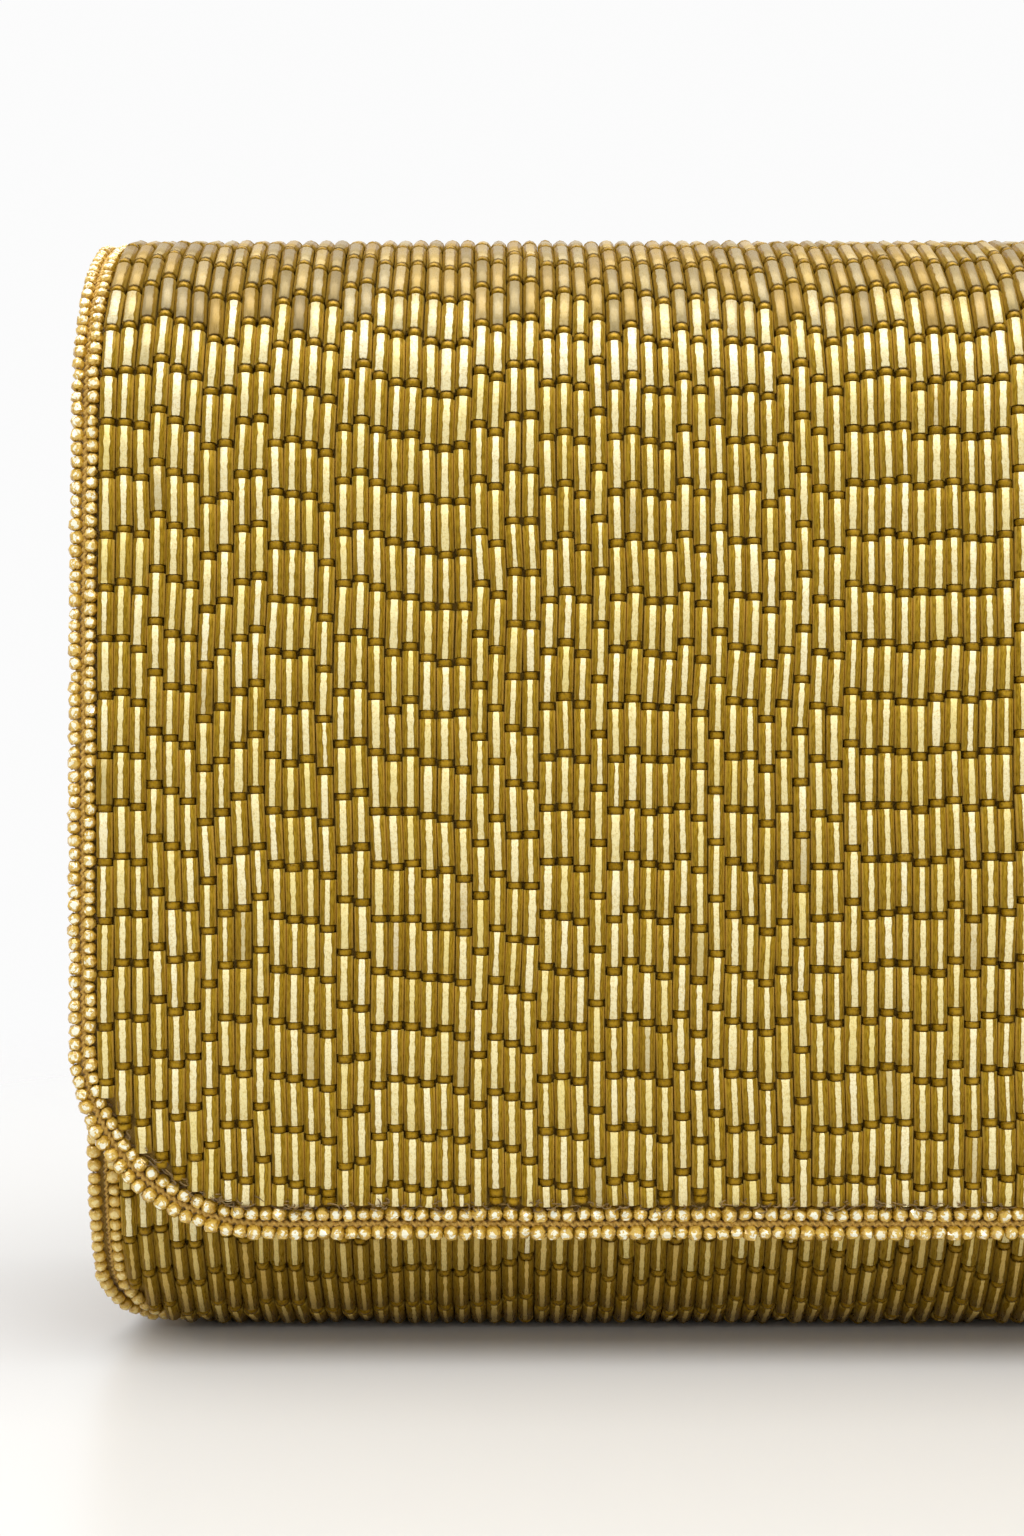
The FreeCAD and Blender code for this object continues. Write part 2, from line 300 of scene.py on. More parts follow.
def sweep(name, path, across, out, section, twist=None):
    """A solid swept along a path. section gives (across, out) points, and twist turns it along the path."""
    section = np.asarray(section, float)
    turn = np.zeros(len(path)) if twist is None else twist
    if section.ndim == 2:
        section = np.tile(section, (len(path), 1, 1))
    a = section[..., 0] * np.cos(turn)[:, None] - section[..., 1] * np.sin(turn)[:, None]
    b = section[..., 0] * np.sin(turn)[:, None] + section[..., 1] * np.cos(turn)[:, None]
    points = path[:, None] + a[..., None] * across[:, None] + b[..., None] * out[:, None]
    rows, columns = points.shape[:2]
    quads, uvs = grid_quads(rows, columns, closed_columns=True)
    points = points.reshape(-1, 3)
    caps = []
    for first, order in ((0, 1), ((rows - 1) * columns, -1)):
        ring = first + np.arange(columns)[::order]
        caps.append(np.stack([np.full(columns, len(points)), np.roll(ring, -1), ring], 1))
        points = np.concatenate([points, points[ring].mean(0)[None]])
    return make_mesh(name, points, quads, uvs, triangles=np.concatenate(caps))


def unit(v):
    return v / np.maximum(np.linalg.norm(v, axis=-1, keepdims=True), 1e-12)


def respace(path, extra, step):
    """The same path and the vectors that go with it, read at even steps along its length."""
    lengths = np.concatenate([[0], np.cumsum(np.linalg.norm(np.diff(path, axis=0), axis=1))])
    wanted = np.linspace(0, lengths[-1], max(2, int(round(lengths[-1] / step)) + 1))

    def read(values):
        return np.stack([np.interp(wanted, lengths, values[:, i]) for i in range(3)], 1)

    return read(path), unit(read(extra)), wanted


def walk(path, normals, step):
    """Even points on a path, and at each: along it, to its side, out of the surface, and the length."""
    even, out, lengths = respace(path, normals, step)
    along = unit(np.gradient(even, axis=0))
    return even, along, unit(np.cross(out, along)), out, lengths


# --------------------------------------------------------------------------------------------------
# Beads: a template is a ring-shaped solid, and copies of it are laid along threads.


class RingTemplate:
    """A bead with a hole along it. Each ring is (share of the radius, end -1 or 1, distance in from it)."""

    def __init__(self, sides, rings):
        angle = np.linspace(-math.pi, math.pi, sides, endpoint=False)
        share, end, inset = (np.array(a, float) for a in zip(*rings))
        self.x = (share[:, None] * np.sin(angle)).ravel()
        self.y = (share[:, None] * np.cos(angle)).ravel()
        self.end = np.repeat(end, sides)
        self.inset = np.repeat(inset * -end, sides)
        across = np.sin(angle)
        behind = np.cos(angle) < -1e-6
        across = np.where(behind, np.sign(across + 1e-9) * (2 - np.abs(across)), across)
        self.across = np.tile(across, len(rings))
        self.quads, _ = grid_quads(len(rings), sides, closed_rows=True, closed_columns=True)
        self.quads = self.quads[:, ::-1]
        u = np.interp(np.linspace(-180, 180, sides + 1), [-180, -90, 90, 180], [0, 0.1, 0.9, 1])
        v = np.interp(np.arange(len(rings) + 1), [0, 2, len(rings) - 3, len(rings) - 1, len(rings)],
                      [0, 0.1, 0.86, 0.95, 1])
        rows, columns = (a.ravel() for a in np.meshgrid(range(len(rings)), range(sides), indexing="ij"))
        corners_u = np.stack([u[columns], u[columns + 1], u[columns + 1], u[columns]], 1)
        corners_v = np.stack([v[rows], v[rows], v[rows + 1], v[rows + 1]], 1)
        self.uvs = np.stack([corners_u, corners_v], -1)[:, ::-1]


def both_ends(sides, half):
    """A bead whose rings run from its hole to its widest at one end, and back the same way at the other."""
    return RingTemplate(sides, [(share, -1, inset) for share, inset in half]
                        + [(share, 1, inset) for share, inset in half[::-1]])


BUGLE = both_ends(12, [(0.42, 0.05), (0.92, 0), (1, 0.05)])
SEED = both_ends(10, [(0.4, 0.06), (0.8, 0), (1, 0.14)])
ROUND = both_ends(8, [(0.24, 0.02), (0.62, 0.08), (0.97, 0.42)])
STITCH = both_ends(6, [(0.3, 0), (0.8, 0.06), (1, 0.25)])


def bead_piece(name, template, beads, smooth=True):
    """One mesh of many beads.

    beads maps place, along, out, length, radius, flat and look to arrays of one row a bead.
    """
    place, along, out = beads["place"], beads["along"], beads["out"]
    across = unit(np.cross(out, along))
    out = np.cross(along, across)
    count, corners = len(place), len(template.x)
    radius = beads["radius"][:, None]
    x = radius * template.x
    y = radius * beads["flat"][:, None] * template.y
    z = beads["length"][:, None] / 2 * template.end + template.inset
    points = place[:, None] + x[..., None] * across[:, None] + y[..., None] * out[:, None]
    points = points + z[..., None] * along[:, None]
    if "rough" in beads:
        points = points + random.normal(0, beads["rough"], points.shape)
    quads = (template.quads + np.arange(count)[:, None, None] * corners).reshape(-1, 4)
    cells = int(math.ceil(math.sqrt(count)))
    corner = np.stack([np.arange(count) % cells, np.arange(count) // cells], 1)[:, None, None] / cells
    uvs = corner + (0.06 + 0.88 * template.uvs) / cells
    number = random.uniform(0, 1, count)
    bead = np.stack([np.tile(template.across, (count, 1)), z, np.repeat(number[:, None], corners, 1)], -1)
    look = np.repeat(beads["look"][:, None], corners, 1)
    return make_mesh(name, points.reshape(-1, 3), quads, uvs, smooth,
                     {"bead": bead.reshape(-1, 3), "look": look.reshape(-1, 3)}, uv_name="OFBake")


def gather(lists):
    """One dict of arrays from many."""
    return {key: np.concatenate([d[key] for d in lists]) for key in lists[0]}


def chosen(beads, keep):
    return {key: values[keep] for key, values in beads.items()}


bugle_length = 5.15
shortest_bugle = 1.3
longest_bugle = 6.3
seed_length = 0.9
thread_gap = 0.02


def string_of_beads(start, end, phase):
    """Bugles and seeds in turn down a column: their middles, their lengths, and which are seeds."""
    middles, lengths, seeds = [], [], []
    s, is_seed = start, False
    length = bugle_length * phase
    while end - s > 0.5:
        if not is_seed:
            length = min(length, end - s)
            if end - s - length < 1.0:
                length = end - s
        if length > longest_bugle:
            length = (end - s) * 0.5
        if is_seed or length < shortest_bugle:
            length = seed_length * random.uniform(0.9, 1.12)
            length = min(length, end - s)
        middles.append(s + length / 2)
        lengths.append(length - thread_gap)
        seeds.append(is_seed or length < shortest_bugle)
        s += length
        is_seed = not is_seed
        length = bugle_length * random.normal(1, 0.045)
    return np.array(middles), np.array(lengths), np.array(seeds, bool)


def column_phases(count):
    """Each column's first bugle, as a share of a whole one. Neighbours often start nearly level."""
    phases = [0.5]
    for _ in range(count - 1):
        step = random.normal(0, 0.045) if random.uniform() < 0.42 else random.uniform(0.14, 0.86)
        phases.append((phases[-1] + step) % 1)
    return 0.25 + 0.75 * np.array(phases)


def lay_columns(profile, half_width, count, spans):
    """Beads for a wall. spans(x) lists the lengths of the profile between which the column at x has beads."""
    pitch = 2 * half_width / count
    sway = Wander(0.16, 45)
    lean = Wander(0.05, 14)
    rows = []
    for i, phase in enumerate(column_phases(count)):
        x0 = (i + 0.5) * pitch - half_width
        for start, end in spans(x0):
            middle, length, is_seed = string_of_beads(start, end, phase)
            if not len(middle):
                continue
            low, high = middle - length / 2, middle + length / 2
            edge = np.clip((half_width - abs(x0)) / 6, 0, 1)

            def across(s):
                return x0 + (sway(x0 * 0.5, s) + lean(x0, s)) * edge

            depth = bead_t / 2 - 0.06 + random.uniform(-0.05, 0.05, len(middle))
            rise = 0.4 * np.clip(profile.normal(middle)[:, 1], 0, 1)
            first = np.column_stack([across(low), profile.at(low, depth - rise)])
            last = np.column_stack([across(high), profile.at(high, depth - rise)])
            jitter = random.normal(0, 0.035, (2, len(middle)))
            first[:, 0] += jitter[0] * ~is_seed
            last[:, 0] += jitter[1] * ~is_seed
            normal = profile.normal(middle)
            out = np.column_stack([random.normal(0, 0.05, len(middle)), normal])
            rows.append({
                "place": (first + last) / 2, "along": unit(last - first), "out": unit(out), "length": length,
                "seed": is_seed, "s": middle, "normal": normal,
            })
    beads = gather(rows)
    n = len(beads["s"])
    seed_share = random.uniform(0.4, 0.43, n)
    bugle_share = random.uniform(0.488, 0.502, n)
    beads["radius"] = pitch * np.where(beads["seed"], seed_share, bugle_share)
    beads["place"][beads["seed"]] += beads["out"][beads["seed"]] * 0.06
    beads["flat"] = np.where(beads["seed"], 1.0, 0.88)
    # The body's beads below the flap's edge get a painted shade, growing over the first 6 mm below it.
    below_flap_shade = np.clip((flap_bottom_z - profile.at(beads["s"])[:, 1]) / 6, 0, 1)
    beads["look"] = bead_looks(beads["normal"], below_flap_shade * (profile is body))
    return beads


def bead_looks(normal, shade_under_flap):
    """(tone, tarnish with the fold's painted shade, width of the bright strip) for each bead. A tone below 0
    is painted shade.

    Over the top fold the silvering is dulled by a painted shade, beads that face upwards get a brighter tone
    and a wider strip as a painted highlight, and the body's beads below the flap's edge get a painted shade.
    """
    n = len(normal)
    tilt = np.degrees(np.arctan2(normal[:, 1], np.abs(normal[:, 0])))
    # Painted shade over the top fold: beads that face further upwards are dulled more.
    fold_shade = np.clip((tilt - 27) / 7 + random.normal(0, 0.3, n), 0, 1)
    # The tone is random, plus a painted highlight on beads that face upwards.
    tone = np.clip(random.normal(0.5, 0.24, n) + np.clip(tilt, 0, 20) / 90, 0, 1)
    # Painted shade below the flap: there some beads get a tone below 0.
    in_flap_shade = random.uniform(0, 1, n) < shade_under_flap * 2
    shade_strength = np.clip(shade_under_flap + random.normal(0, 0.15, n), 0, 1)
    tone = np.where(in_flap_shade, -shade_strength, tone)
    grey = random.uniform(0, 1, n)
    # The fold's painted shade, and real tarnish on a few beads anywhere.
    tarnish_and_fold_shade = fold_shade * (0.8 + 0.2 * grey) + (random.uniform(0, 1, n) < 0.03) * 0.4
    # The strip is wider as a painted highlight on beads that face upwards, wider over the fold's painted
    # shade, and narrower in the painted shade below the flap.
    width = random.normal(0.33, 0.05, n) + 0.16 * fold_shade + 0.1 * np.clip((tilt - 4) / 12, 0, 1) - 0.07 * shade_under_flap
    width = np.clip(width, 0.2, 0.6)
    return np.column_stack([tone, np.clip(tarnish_and_fold_shade, 0, 1), width])


# --------------------------------------------------------------------------------------------------
# Materials


def srgb(r, g, b):
    """A display colour from 0 to 255, as the linear values that shaders take."""
    shares = [c / 255 for c in (r, g, b)]
    return tuple(c / 12.92 if c <= 0.04 else ((c + 0.055) / 1.055) ** 2.4 for c in shares) + (1,)


class Nodes:
    """Short calls that build the nodes of a material or a world."""

    def __init__(self, owner):
        owner.use_nodes = True
        self.owner = owner
        self.tree = owner.node_tree

    def put(self, socket, value):
        if isinstance(value, bpy.types.NodeSocket):
            self.tree.links.new(value, socket)
        else:
            socket.default_value = value

    def node(self, kind, inputs, output=0, **settings):
        made = self.tree.nodes.new(kind)
        for key, value in settings.items():
            setattr(made, key, value)
        for key, value in inputs.items():
            self.put(made.inputs[key], value)
        return made.outputs[output]

    def maths(self, operation, a, b=0.0):
        return self.node("ShaderNodeMath", {0: a, 1: b}, operation=operation)

    def times(self, a, b):
        return self.maths("MULTIPLY", a, b)

    def mix(self, share, a, b):
        return self.node("ShaderNodeMix", {0: share, 6: a, 7: b}, output=2, data_type="RGBA")

    def span(self, value, low, high, to_low=0.0, to_high=1.0, smooth=True):
        inputs = {0: value, 1: low, 2: high, 3: to_low, 4: to_high}
        kind = "SMOOTHSTEP" if smooth else "LINEAR"
        return self.node("ShaderNodeMapRange", inputs, interpolation_type=kind)

    def split(self, vector):
        """The three numbers of a vector."""
        made = self.tree.nodes.new("ShaderNodeSeparateXYZ")
        self.put(made.inputs[0], vector)
        return made.outputs

    def parts(self, name):
        """The three numbers of a vector attribute."""
        source = self.tree.nodes.new("ShaderNodeAttribute")
        source.attribute_name = name
        return self.split(source.outputs["Vector"])

    def vector(self, x, y, z):
        return self.node("ShaderNodeCombineXYZ", {0: x, 1: y, 2: z})

    def object_space(self):
        return self.node("ShaderNodeTexCoord", {}, output=3)

    def noise(self, where, scale, detail=2.0, rough=0.5):
        inputs = {"Vector": where, "Scale": scale, "Detail": detail, "Roughness": rough}
        return self.node("ShaderNodeTexNoise", inputs)

    def bump(self, height, strength, distance):
        inputs = {"Strength": strength, "Distance": distance, "Height": height}
        self.finish(Normal=self.node("ShaderNodeBump", inputs))

    def finish(self, **values):
        """Sets the shader's own sockets, whose names are the keys with _ for each space."""
        shader = self.tree.nodes["Principled BSDF"]
        for key, value in values.items():
            self.put(shader.inputs[key.replace("_", " ")], value)
        return self.owner


def new_stuff(name):
    return Nodes(bpy.data.materials.new(name))


def bugle_glass():
    """Silver-lined gold glass: the lining's bright strip down the bead, and amber glass beside it."""
    m = new_stuff("bugle glass")
    across, along, number = m.parts("bead")
    tone, tarnish_and_fold_shade, width = m.parts("look")
    drawn_out = m.vector(m.times(across, 1.7), m.times(along, 0.22), m.times(number, 61.0))
    streaks = m.noise(drawn_out, 5.0, 3.0, 0.6)
    mottle = m.noise(m.vector(across, along, m.times(number, 43.0)), 3.2, 4.0, 0.7)
    waver = m.noise(m.vector(m.times(number, 97.0), along, 0.0), 0.9, 2.0)
    centre = m.span(number, 0, 1, -0.09, 0.09, smooth=False)
    side = m.maths("ABSOLUTE", m.maths("SUBTRACT", across, centre))
    side = m.maths("ADD", side, m.span(waver, 0.3, 0.7, -0.07, 0.07, smooth=False))
    from_strip = m.maths("SUBTRACT", side, width)
    strip = m.span(from_strip, -0.035, 0.045, 1, 0)
    line = m.times(m.span(from_strip, 0.0, 0.05, 0, 1), m.span(from_strip, 0.07, 0.2, 1, 0))
    # A lighter rim at each side of the bead: painted light that offsets the shade in the grooves between
    # beads.
    rim = m.span(m.maths("ABSOLUTE", across), 0.72, 0.98)
    # A tone below 0 is the painted shade below the flap, which darkens the amber and the lining.
    shade_under_flap = m.times(tone, -1.0)
    amber = m.mix(m.span(streaks, 0.36, 0.64), srgb(130, 100, 12), srgb(170, 137, 36))
    amber = m.mix(rim, amber, srgb(216, 182, 84))
    amber = m.mix(m.times(line, 0.5), amber, srgb(112, 82, 6))
    # Painted shade over the top fold darkens the amber, as does the tarnish of a few beads.
    amber = m.mix(m.times(tarnish_and_fold_shade, 0.6), amber, srgb(122, 92, 26))
    amber = m.mix(m.times(shade_under_flap, 0.62), amber, srgb(100, 70, 0))
    # The tone is random, plus a painted highlight on beads that face upwards.
    lining = m.mix(tone, srgb(236, 218, 146), srgb(250, 240, 200))
    lining = m.mix(m.span(mottle, 0.44, 0.68, 0, 0.6), lining, srgb(208, 180, 92))
    # The dull lining is the painted shade over the top fold, and the tarnish of a few beads.
    dull = m.mix(m.span(number, 0.35, 0.65), srgb(160, 130, 68), srgb(136, 117, 80))
    lining = m.mix(m.times(tarnish_and_fold_shade, 0.95), lining, dull)
    lining = m.mix(m.times(shade_under_flap, 0.62), lining, srgb(176, 132, 30))
    return m.finish(
        Base_Color=m.mix(strip, amber, lining), Roughness=m.span(streaks, 0.3, 0.7, 0.24, 0.42), Metallic=0.2,
        Specular_IOR_Level=0.25, Specular_Tint=srgb(255, 205, 90), Coat_Weight=0.08, Coat_Roughness=0.08)


def seed_glass():
    """Darker olive glass, with a painted highlight of gold in its middle."""
    m = new_stuff("seed glass")
    across, along, number = m.parts("bead")
    tone = m.parts("look")[0]
    cloud = m.noise(m.vector(across, along, m.times(number, 83.0)), 2.6, 3.0, 0.6)
    # Painted highlight: gold in the middle of each seed, away from its ends and sides.
    middle = m.times(m.span(m.maths("ABSOLUTE", across), 0.25, 0.75, 1, 0),
                     m.span(m.maths("ABSOLUTE", along), 0.1, 0.3, 1, 0))
    dark = m.mix(m.span(cloud, 0.35, 0.65), srgb(108, 80, 4), srgb(142, 108, 14))
    # The gold is brighter with the tone, which is random, plus a painted highlight on seeds that face
    # upwards, and darkest in the painted shade below the flap.
    gold = m.mix(tone, srgb(150, 114, 14), srgb(186, 146, 38))
    return m.finish(
        Base_Color=m.mix(m.times(middle, 0.85), dark, gold), Roughness=m.span(cloud, 0.3, 0.7, 0.2, 0.4),
        Metallic=0.2, Specular_IOR_Level=0.3, Specular_Tint=srgb(255, 205, 90), Coat_Weight=0.12,
        Coat_Roughness=0.06)


def cut_glass(name, bright, gold, brown, spread):
    """Small faceted beads: a painted highlight of bright facets in the middle where they face out, gold ones
    between them and a painted shade of brown at the rim.
    """
    m = new_stuff(name)
    across, along, number = m.parts("bead")
    tone = m.parts("look")[0]
    where = m.vector(across, along, m.times(number, 29.0))
    facets = m.node("ShaderNodeTexVoronoi", {"Vector": where, "Scale": 2.9}, output=1)
    pick = m.node("ShaderNodeSeparateColor", {0: facets})
    squares = m.maths("ADD", m.maths("POWER", across, 2.0), m.maths("POWER", m.times(along, 1.35), 2.0))
    radius = m.maths("POWER", squares, 0.5)
    edge = m.maths("ADD", radius, m.span(pick, 0, 1, -0.34, 0.34, smooth=False))
    # Painted highlight: bright in the middle of each bead. Painted shade: brown at its rim.
    colour = m.mix(m.span(edge, 0.34, 0.5), bright, gold)
    colour = m.mix(m.times(tone, spread), colour, gold)
    colour = m.mix(m.span(edge, 0.8, 1.0), colour, brown)
    return m.finish(Base_Color=colour, Roughness=m.span(pick, 0, 1, 0.12, 0.3, smooth=False), Metallic=0.1,
                    Coat_Weight=0.7, Coat_Roughness=0.04)


def thread(name, dark, light):
    """Spun metallic thread."""
    m = new_stuff(name)
    where = m.object_space()
    fibres = m.noise(where, 2600.0, 3.0, 0.7)
    patches = m.noise(where, 260.0, 2.0)
    colour = m.mix(m.span(fibres, 0.35, 0.65), dark, light)
    colour = m.mix(0.25, colour, m.mix(patches, dark, light))
    m.bump(fibres, 0.5, 0.00008)
    return m.finish(Base_Color=colour, Roughness=m.span(fibres, 0.3, 0.7, 0.35, 0.6), Metallic=0.25,
                    Sheen_Weight=0.3)


def woven(name, dark, light, per_mm):
    """Plain-weave cloth: two sets of fine yarns across each other, per_mm of each to a millimetre."""
    m = new_stuff(name)
    where = m.object_space()
    x, y, z = m.split(where)
    turns = per_mm * 2 * math.pi / MM
    warp = m.maths("SINE", m.times(x, turns))
    weft = m.maths("SINE", m.times(m.maths("ADD", z, y), turns))
    yarn = m.times(warp, weft)
    slub = m.noise(where, 420.0, 4.0, 0.6)
    shade = m.maths("ADD", m.span(yarn, -1, 1, 0, 0.55, smooth=False), m.times(slub, 0.45))
    m.bump(yarn, 0.4, 0.00006)
    return m.finish(Base_Color=m.mix(shade, dark, light), Roughness=m.span(slub, 0.3, 0.7, 0.55, 0.8),
                    Sheen_Weight=0.4, Sheen_Roughness=0.4)


def satin(name, dark, light):
    """Satin: fine floats along the cloth, a soft sheen and faint pressed creases."""
    m = new_stuff(name)
    where = m.object_space()
    x, y, z = m.split(where)
    floats = m.noise(m.vector(m.times(x, 5200.0), m.times(y, 5200.0), m.times(z, 380.0)), 1.0, 2.0, 0.5)
    folds = m.noise(where, 60.0, 3.0, 0.5)
    # The colour follows the creases' bump: darker in their hollows, a painted shade.
    colour = m.mix(m.span(folds, 0.3, 0.7), dark, light)
    colour = m.mix(0.35, colour, m.mix(m.span(floats, 0.3, 0.7), dark, light))
    m.bump(m.maths("ADD", m.times(floats, 0.25), folds), 0.25, 0.0004)
    return m.finish(Base_Color=colour, Roughness=m.span(floats, 0.3, 0.7, 0.3, 0.46), Sheen_Weight=0.3,
                    Sheen_Roughness=0.3, Sheen_Tint=srgb(255, 226, 170), Anisotropic=0.5)


def board_stuff():
    """Brown pressed board with flecks of fibre."""
    m = new_stuff("pressed board")
    where = m.object_space()
    pulp = m.noise(where, 900.0, 5.0, 0.7)
    flecks = m.noise(where, 3000.0, 2.0, 0.5)
    colour = m.mix(m.span(pulp, 0.3, 0.7), srgb(146, 118, 78), srgb(178, 148, 104))
    colour = m.mix(m.span(flecks, 0.62, 0.72), colour, srgb(104, 80, 48))
    m.bump(pulp, 0.4, 0.0001)
    return m.finish(Base_Color=colour, Roughness=m.span(pulp, 0.3, 0.7, 0.75, 0.92))


def plated(name, dark, light, rough):
    """Plated metal with fine brushed lines and a few handling marks."""
    m = new_stuff(name)
    where = m.object_space()
    lines = m.noise(where, 1400.0, 3.0, 0.6)
    marks = m.noise(where, 180.0, 4.0, 0.6)
    colour = m.mix(m.span(marks, 0.35, 0.7), light, dark)
    m.bump(lines, 0.12, 0.00003)
    return m.finish(Base_Color=colour, Roughness=m.span(marks, 0.3, 0.75, *rough), Metallic=1.0)


def ferrite():
    m = new_stuff("ferrite")
    grain = m.noise(m.object_space(), 2400.0, 4.0, 0.7)
    m.bump(grain, 0.3, 0.00005)
    return m.finish(Base_Color=m.mix(grain, srgb(40, 40, 43), srgb(74, 73, 76)),
                    Roughness=m.span(grain, 0.3, 0.7, 0.5, 0.75), Metallic=0.4)


def floor_stuff():
    """Pale card that fades into the white surround, so that no far edge shows."""
    m = new_stuff("studio floor")
    cloud = m.noise(m.object_space(), 1.5, 2.0)
    reach = m.node("ShaderNodeVectorMath", {0: m.object_space()}, output=1, operation="LENGTH")
    return m.finish(Base_Color=m.mix(cloud, srgb(208, 207, 205), srgb(212, 211, 209)), Roughness=0.32,
                    Specular_IOR_Level=0.5, Alpha=m.span(reach, 0.1, 0.34, 1, 0))


BUGLE_GLASS = bugle_glass()
SEED_GLASS = seed_glass()
CUT_GLASS = cut_glass("cut trim glass", srgb(255, 254, 228), srgb(218, 180, 78), srgb(182, 140, 38), 0.2)
SOFT_GLASS = cut_glass("pressed trim glass", srgb(250, 228, 154), srgb(222, 184, 84), srgb(190, 148, 44), 0.5)
GOLD_CORD = thread("gold cord", srgb(176, 134, 40), srgb(226, 186, 92))
DARK_THREAD = thread("sewing thread", srgb(84, 60, 14), srgb(150, 118, 52))
PALE_THREAD = thread("lining thread", srgb(150, 118, 66), srgb(206, 176, 120))
BASE_CLOTH = woven("base cloth", srgb(150, 116, 36), srgb(198, 160, 66), 3.0)
LINING = satin("lining satin", srgb(192, 162, 114), srgb(206, 178, 130))
GUSSET = satin("gusset satin", srgb(156, 120, 54), srgb(182, 146, 78))
BOARD = board_stuff()
GOLD_METAL = plated("gold plate", srgb(176, 132, 62), srgb(226, 190, 112), (0.18, 0.34))
STEEL = plated("zinc plate", srgb(120, 120, 118), srgb(176, 176, 172), (0.3, 0.5))
FERRITE = ferrite()

# --------------------------------------------------------------------------------------------------
# Beadwork


def bands(beads, count, name, on, node):
    """The beads of a wall as pieces, each a band across its whole width."""
    kinds = (("bugles", BUGLE, BUGLE_GLASS, count), ("seeds", SEED, SEED_GLASS, count // 2))
    for kind, template, material, pieces in kinds:
        mine = chosen(beads, beads["seed"] == (kind == "seeds"))
        order = np.argsort(mine["s"], kind="stable")
        for number, part in enumerate(np.array_split(order, pieces)):
            piece = bead_piece(f"{name}_{kind}_{number + 1}", template, chosen(mine, part))
            finish_piece(piece, material, on, [node])


def flap_spans(x):
    """From the hinge to the inner trim row. Columns over the round corners end higher."""
    r = flap_corner_r - trim_w + 0.3
    beyond = np.clip(abs(x) - 0.2 - (half_flap - flap_corner_r), 0, r)
    z = flap_bottom_z + flap_corner_r - math.sqrt(r * r - beyond * beyond) + 0.5
    return [(0.05, float(flap.length_at_z(z, flap_front_s, flap.length)) - random.uniform(0, 0.25))]


def body_spans(x):
    """From the mouth to the hinge, less the snap's hole, and less the foot where its corners are cut away."""
    spans = [(0.05, body.length - 0.05)]
    limit = body_half_width(0, trim_w)
    if abs(x) > limit:
        heights = np.linspace(0, foot_corner_r, 60)
        z = float(np.interp(abs(x) + 0.5, body_half_width(heights, trim_w), heights))
        middle = body.length_at_z(0.0, 0, body.length / 2)
        front = float(body.length_at_z(z, 0, middle))
        back = float(body.length_at_z(z, middle + 20, body.length))
        spans = [(0.05, front), (back, body.length - 0.05)]
    hole = socket_high[0] + 0.9
    if abs(x) < hole:
        reach = math.sqrt(hole * hole - x * x)
        above, below = (float(body.length_at_z(snap_z + d, 0, 90)) for d in (reach, -reach))
        first = spans[0]
        spans = [(first[0], above), (below, first[1])] + spans[1:]
    return spans


flap_beads = lay_columns(flap, half_flap - trim_w + 0.3, 116, flap_spans)
body_beads = lay_columns(body, half_body - trim_w + 0.1, 114, body_spans)
bands(flap_beads, 6, "flap", "flap", "flap_beadwork")
bands(body_beads, 8, "body", "body", "body_beadwork")

# --------------------------------------------------------------------------------------------------
# Edge trims


def flap_edge(inset, depth):
    """A path in from the flap's edge, with its normals: down the left, along the bottom and up the right."""
    r = flap_corner_r - inset
    corner_top = float(flap.length_at_z(flap_bottom_z + flap_corner_r, flap_front_s, flap.length))
    side_s = np.linspace(0.05, corner_top, 500)
    angles = np.linspace(0, math.pi / 2, 80)[1:]
    corner_x = half_flap - flap_corner_r + r * np.cos(angles)
    corner_s = flap.length_at_z(flap_bottom_z + flap_corner_r - r * np.sin(angles), flap_front_s, flap.length)
    x = np.concatenate([np.full(len(side_s), half_flap - inset), corner_x])
    s = np.concatenate([side_s, corner_s])
    x = np.concatenate([-x, x[::-1]])
    s = np.concatenate([s, s[::-1]])
    return np.column_stack([x, flap.at(s, depth)]), np.column_stack([np.zeros(len(s)), flap.normal(s)])


def body_edge(inset, depth, side):
    """A path down the front, round the foot and up the back at a distance in from the body's side edge."""
    s = np.linspace(0.05, body.length - 0.05, 900)
    x = side * body_half_width(body.at(s)[:, 1], inset)
    return np.column_stack([x, body.at(s, depth)]), np.column_stack([np.zeros(len(s)), body.normal(s)])


def row_of_beads(path, normals, pitch, radius, rough, flat=1.0, wobble=0.05, fill=0.97, wider_low=1.0,
                 lift=0.0):
    """Beads strung along a path. wider_low makes those that run across larger, and lift moves them up."""
    even, along, side, out, lengths = walk(path, normals, 0.05)
    places, sizes = [], []
    s = pitch / 2
    while s < lengths[-1] - pitch / 2:
        i = min(int(s / lengths[-1] * (len(even) - 1)), len(even) - 1)
        size = random.uniform(0.9, 1.1) * (1 + (wider_low - 1) * abs(along[i, 0]))
        places.append(i)
        sizes.append(size)
        s += pitch * size
    places, sizes = np.array(places), np.array(sizes)
    n = len(places)
    shift = random.normal(0, wobble, n) + lift * np.abs(along[places, 0])
    rise = random.uniform(-0.06, 0.04, n)
    place = even[places] + side[places] * shift[:, None] + out[places] * rise[:, None]
    tilt = random.normal(0, 0.12, (n, 3))
    return {
        "place": place,
        "along": unit(along[places] + tilt),
        "out": out[places],
        "length": pitch * sizes * fill,
        "radius": radius * sizes * random.uniform(0.94, 1.05, n),
        "flat": np.full(n, flat),
        "look": np.column_stack([random.uniform(0, 1, n), random.uniform(0, 1, n), sizes]),
        "rough": rough,
    }


